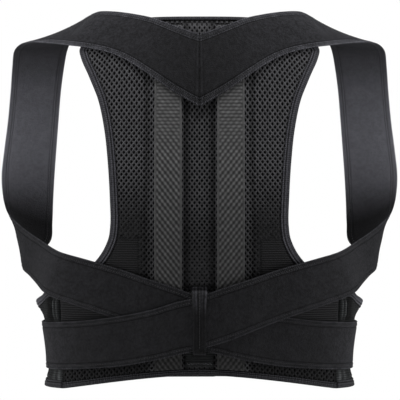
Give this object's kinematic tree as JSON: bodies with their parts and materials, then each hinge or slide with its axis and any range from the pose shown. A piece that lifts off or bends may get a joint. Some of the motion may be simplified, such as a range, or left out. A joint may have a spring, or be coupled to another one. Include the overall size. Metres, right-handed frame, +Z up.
{
  "type": "posture corrector",
  "caption": "Worn back support with a mesh back panel, crossed elastic shoulder straps with a keeper loop, and a wraparound waist belt.",
  "frame": {"origin": "midway between the crests of the two shoulder straps, where the straps sit on the shoulders", "axes": "+Z up, +Y towards the wearer's front, +X towards the wearer's right; the back panel is on the -Y side"},
  "size_m": [0.423, 0.2372, 0.3875],
  "materials": {
    "mesh_cloth": "open spacer mesh, matt",
    "belt_cloth": "fine rib knit, matt",
    "elastic": "woven elastic, soft sheen",
    "webbing": "coarse weave, matt",
    "binding_tape": "folded tape, matt",
    "hook_patch": "hook tape, matt"
  },
  "bodies": {
    "root": {"back_panel": "mesh_cloth", "channel_cover_left": "webbing", "channel_cover_right": "webbing", "collar_binding": "binding_tape", "armhole_binding_left": "binding_tape", "armhole_binding_right": "binding_tape", "hem_binding": "binding_tape", "hem_tab": "belt_cloth", "belt_wing_left": "belt_cloth", "belt_wing_right": "belt_cloth", "wing_binding_left": "binding_tape", "wing_binding_right": "binding_tape", "strap_left": "elastic", "strap_right": "elastic", "keeper_loop": "elastic", "belt_hook_patch": "hook_patch", "strap_hook_patch_left": "hook_patch", "strap_hook_patch_right": "hook_patch"}
  },
  "joints": []
}
